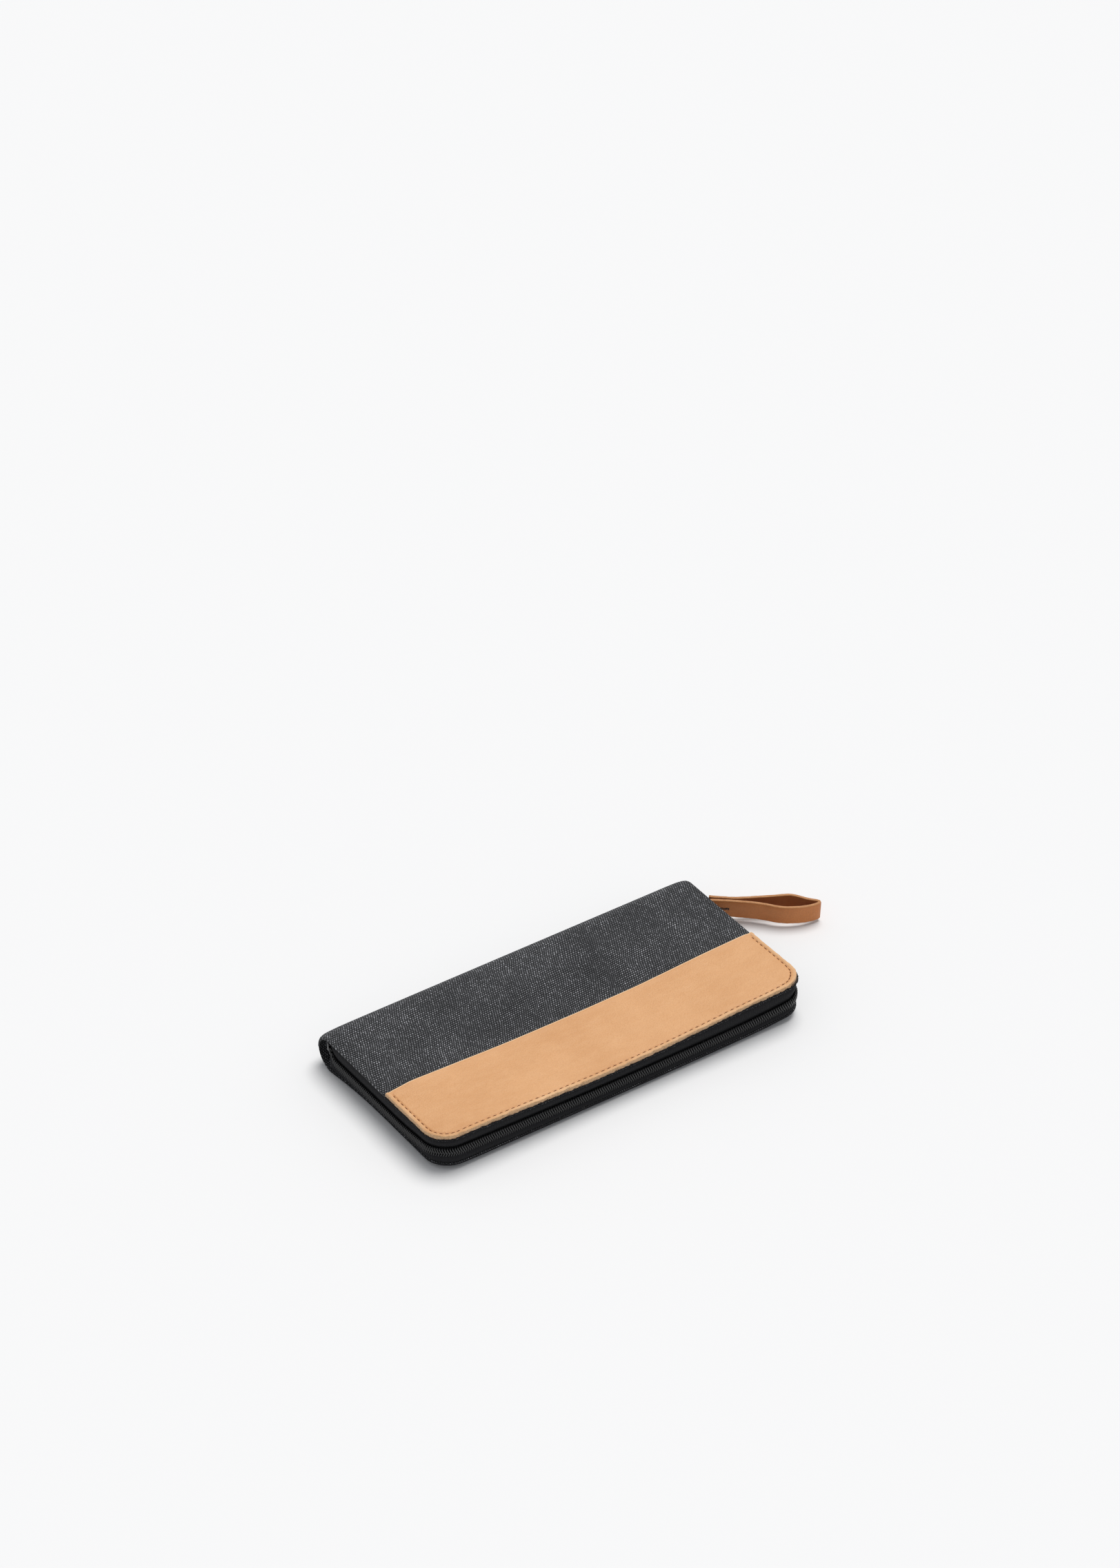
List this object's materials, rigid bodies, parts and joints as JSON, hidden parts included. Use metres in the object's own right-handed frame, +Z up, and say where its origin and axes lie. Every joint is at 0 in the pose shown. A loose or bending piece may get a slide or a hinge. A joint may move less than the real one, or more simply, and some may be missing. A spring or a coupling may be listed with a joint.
{
  "type": "zippered pouch",
  "caption": "Long flat pouch that zips round three sides, with a canvas cover folded over the spine, a leather front panel, inner pockets and a looped leather zip pull.",
  "frame": {"origin": "middle of the underside of the closed pouch, on the surface it lies on, without the pull", "axes": "+X along the spine towards the end with the zip pull, +Y from the zip front to the spine, +Z up through the front cover"},
  "size_m": [0.2434, 0.096, 0.0199],
  "materials": {
    "canvas": "washed plain-weave cotton canvas, matte, pale flecks",
    "leather": "natural vegetable-tanned, smooth, low sheen",
    "strap_leather": "vegetable-tanned strip, suede on the inner side",
    "zip_tape": "ribbed woven polyester tape, matte",
    "coil": "nylon coil, faint sheen",
    "slider_metal": "black enamel on die-cast zinc",
    "board": "uncoated, hidden",
    "lining": "thin plain-weave cotton, matte",
    "pocket_canvas": "thin plain-weave cotton, matte",
    "brown_thread": "bonded polyester thread",
    "dark_thread": "bonded polyester thread"
  },
  "bodies": {
    "rear_shell": {"rear_canvas": "canvas", "rear_topstitch": "dark_thread", "rear_stiffener": "board", "rear_lining": "lining", "lower_tape": "zip_tape", "lower_coil": "coil", "lower_stop": "coil", "bottom_stop": "coil", "note_pocket": "lining", "card_pocket_1": "pocket_canvas", "card_pocket_2": "pocket_canvas", "card_pocket_3": "pocket_canvas", "card_pocket_4": "pocket_canvas"},
    "spine": {"spine_canvas": "canvas", "spine_lining": "lining"},
    "front_shell": {"front_canvas": "canvas", "leather_panel": "leather", "leather_topstitch": "brown_thread", "front_topstitch": "dark_thread", "front_stiffener": "board", "front_lining": "lining", "upper_tape": "zip_tape", "upper_coil": "coil", "upper_stop": "coil", "slip_pocket_deep": "lining", "slip_pocket_short": "pocket_canvas"},
    "slider": {"slider_body": "slider_metal"},
    "pull": {"puller": "slider_metal", "pull_strap": "strap_leather", "strap_tack": "dark_thread"}
  },
  "joints": [
    {"name": "spine_hinge", "type": "hinge", "parent": "rear_shell", "child": "spine", "pos_m": [0, 0.045, 0.003], "axis": [-1, 0, 0], "range_deg": [0, 89]},
    {"name": "cover_hinge", "type": "hinge", "parent": "spine", "child": "front_shell", "pos_m": [0, 0.045, 0.0152], "axis": [-1, 0, 0], "range_deg": [0, 89]},
    {"name": "zip_slide", "type": "slide", "parent": "rear_shell", "child": "slider", "axis": [0, -1, 0], "range_m": [0, 0.0645], "deforming": ["lower_coil", "upper_coil"]},
    {"name": "pull_swing", "type": "hinge", "parent": "slider", "child": "pull", "pos_m": [0.10055, 0.0345, 0.0075], "axis": [0, 0, 1], "range_deg": [-38, 112]}
  ],
  "couplings": [
    {"joint": "spine_hinge", "follows": "cover_hinge", "ratio": 1}
  ]
}
